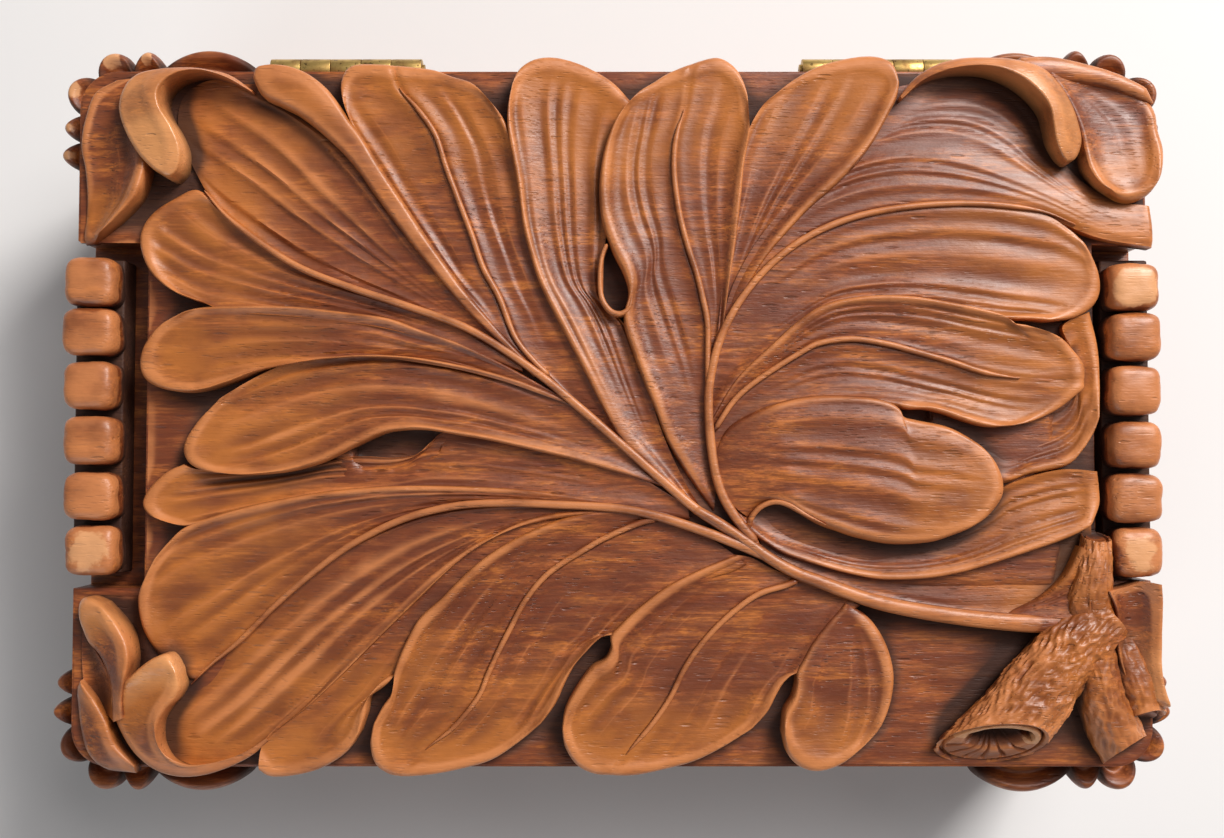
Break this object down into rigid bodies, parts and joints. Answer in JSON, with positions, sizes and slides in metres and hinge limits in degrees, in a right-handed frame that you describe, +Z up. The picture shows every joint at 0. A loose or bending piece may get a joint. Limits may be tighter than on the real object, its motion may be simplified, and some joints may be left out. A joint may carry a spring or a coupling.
{
  "type": "cigarette box",
  "caption": "Rectangular carved walnut box with a hinged leaf-carved lid, beaded end rails, corner-leaf feet and a divided cedar-lined interior.",
  "frame": {"origin": "on the table plane, under the middle of the closed box", "axes": "+X along the box's length to the right, +Y to the hinges at the back, +Z up"},
  "size_m": [0.1824, 0.1222, 0.0542],
  "materials": {
    "walnut": "waxed satin",
    "carved_walnut": "waxed satin, worn lighter on the high edges",
    "cedar": "bare, smooth",
    "brass": "aged satin"
  },
  "bodies": {
    "box": {"bottom_board": "walnut", "front_wall": "walnut", "back_wall": "walnut", "left_end_wall": "walnut", "right_end_wall": "walnut", "left_bead_rail": "walnut", "right_bead_rail": "walnut", "front_left_corner_leaf": "walnut", "front_right_corner_leaf": "walnut", "back_left_corner_leaf": "walnut", "back_right_corner_leaf": "walnut", "floor_lining": "cedar", "front_lining": "cedar", "back_lining": "cedar", "left_lining": "cedar", "right_lining": "cedar", "divider": "cedar", "left_hinge_body_leaf": "brass", "right_hinge_body_leaf": "brass", "left_hinge_pin": "brass", "right_hinge_pin": "brass", "hinge_screws_body": "brass"},
    "lid": {"carved_lid": "carved_walnut", "lid_lining": "cedar", "left_hinge_lid_leaf": "brass", "right_hinge_lid_leaf": "brass", "hinge_screws_lid": "brass"}
  },
  "joints": [
    {"name": "lid_hinge", "type": "hinge", "parent": "box", "child": "lid", "pos_m": [0, 0.0577, 0.04], "axis": [-1, 0, 0], "range_deg": [0, 105]}
  ]
}
